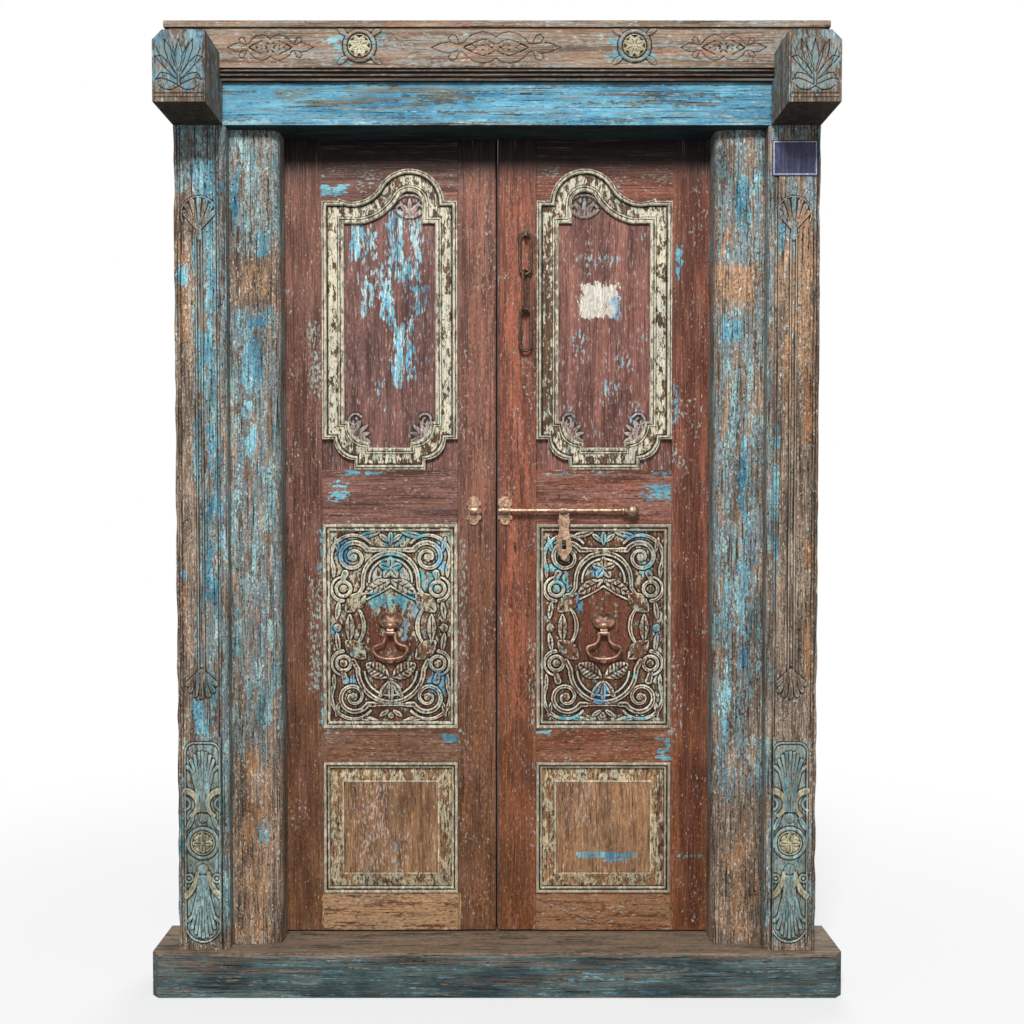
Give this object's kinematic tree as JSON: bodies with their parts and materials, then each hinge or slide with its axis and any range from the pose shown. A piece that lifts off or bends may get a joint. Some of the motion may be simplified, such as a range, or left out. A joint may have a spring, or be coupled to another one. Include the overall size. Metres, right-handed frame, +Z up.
{
  "type": "carved double door with frame",
  "caption": "Carved wooden double door with panelled leaves on pivots in a layered frame, with knockers, sliding bolt, hasp and chain.",
  "frame": {"origin": "on the floor under the middle of the whole part's box", "axes": "+Z up, -Y out of the front of the door, +X to the right seen from the front"},
  "size_m": [1.49, 0.296, 2.08],
  "materials": {
    "blue_wood": "worn paint",
    "teal_wood": "worn paint",
    "bare_wood": "weathered",
    "sill_wood": "weathered",
    "oxide_wood": "worn paint",
    "panel_wood": "worn paint",
    "cream_wood": "worn paint",
    "carved_wood": "worn paint",
    "iron": "rusted",
    "bolt_iron": "rubbed",
    "enamel": "worn enamel"
  },
  "bodies": {
    "frame": {"threshold": "sill_wood", "left_jamb": "teal_wood", "right_jamb": "teal_wood", "left_pilaster": "teal_wood", "right_pilaster": "teal_wood", "lintel": "blue_wood", "cornice": "bare_wood", "left_bracket": "teal_wood", "right_bracket": "teal_wood", "number_plate": "enamel", "left_pivot_cup": "iron", "right_pivot_cup": "iron", "left_pivot_bush": "iron", "right_pivot_bush": "iron"},
    "left_leaf": {"left_hinge_stile": "oxide_wood", "left_meeting_stile": "oxide_wood", "left_top_rail": "oxide_wood", "left_lock_rail": "oxide_wood", "left_frieze_rail": "oxide_wood", "left_bottom_rail": "oxide_wood", "left_upper_panel": "panel_wood", "left_carved_panel": "carved_wood", "left_lower_panel": "panel_wood", "left_upper_moulding": "cream_wood", "left_carved_moulding": "cream_wood", "left_lower_moulding": "panel_wood", "left_knocker_boss": "iron", "left_strike_stud": "iron", "bolt_keeper": "bolt_iron"},
    "right_leaf": {"right_hinge_stile": "oxide_wood", "right_meeting_stile": "oxide_wood", "right_top_rail": "oxide_wood", "right_lock_rail": "oxide_wood", "right_frieze_rail": "oxide_wood", "right_bottom_rail": "oxide_wood", "right_upper_panel": "panel_wood", "right_carved_panel": "carved_wood", "right_lower_panel": "panel_wood", "right_upper_moulding": "cream_wood", "right_carved_moulding": "cream_wood", "right_lower_moulding": "panel_wood", "right_knocker_boss": "iron", "right_strike_stud": "iron", "bolt_guide": "bolt_iron", "hasp_staple": "iron", "chain_staple": "iron"},
    "left_knocker": {"left_knocker_ring": "iron"},
    "right_knocker": {"right_knocker_ring": "iron"},
    "bolt": {"bolt_rod": "bolt_iron"},
    "hasp": {"bolt_hasp": "iron"},
    "link_1": {"chain_link_1": "iron"},
    "link_2": {"chain_link_2": "iron"},
    "link_3": {"chain_link_3": "iron"}
  },
  "joints": [
    {"name": "left_leaf_turn", "type": "hinge", "parent": "frame", "child": "left_leaf", "pos_m": [-0.478, 0.1265, 1], "axis": [0, 0, 1], "range_deg": [0, 100]},
    {"name": "right_leaf_turn", "type": "hinge", "parent": "frame", "child": "right_leaf", "pos_m": [0.478, 0.1265, 1], "axis": [0, 0, -1], "range_deg": [0, 100]},
    {"name": "left_knocker_lift", "type": "hinge", "parent": "left_leaf", "child": "left_knocker", "pos_m": [-0.2395, 0.1015, 0.7735], "axis": [-1, 0, 0], "range_deg": [0, 80]},
    {"name": "right_knocker_lift", "type": "hinge", "parent": "right_leaf", "child": "right_knocker", "pos_m": [0.2395, 0.1015, 0.7735], "axis": [-1, 0, 0], "range_deg": [0, 80]},
    {"name": "bolt_slide", "type": "slide", "parent": "right_leaf", "child": "bolt", "axis": [1, 0, 0], "range_m": [-0.109, 0]},
    {"name": "hasp_lift", "type": "hinge", "parent": "bolt", "child": "hasp", "pos_m": [0.149, 0.0905, 1.048], "axis": [-1, 0, 0], "range_deg": [-8, 100]},
    {"name": "link_1_swing", "type": "hinge", "parent": "right_leaf", "child": "link_1", "pos_m": [0.063, 0.09404, 1.665], "axis": [-1, 0, 0], "range_deg": [0, 60]},
    {"name": "link_2_swing", "type": "hinge", "parent": "link_1", "child": "link_2", "pos_m": [0.063, 0.09404, 1.5725], "axis": [-1, 0, 0], "range_deg": [0, 40]},
    {"name": "link_3_swing", "type": "hinge", "parent": "link_2", "child": "link_3", "pos_m": [0.063, 0.09404, 1.4875], "axis": [-0.5, -0.866, 0], "range_deg": [0, 40]}
  ]
}
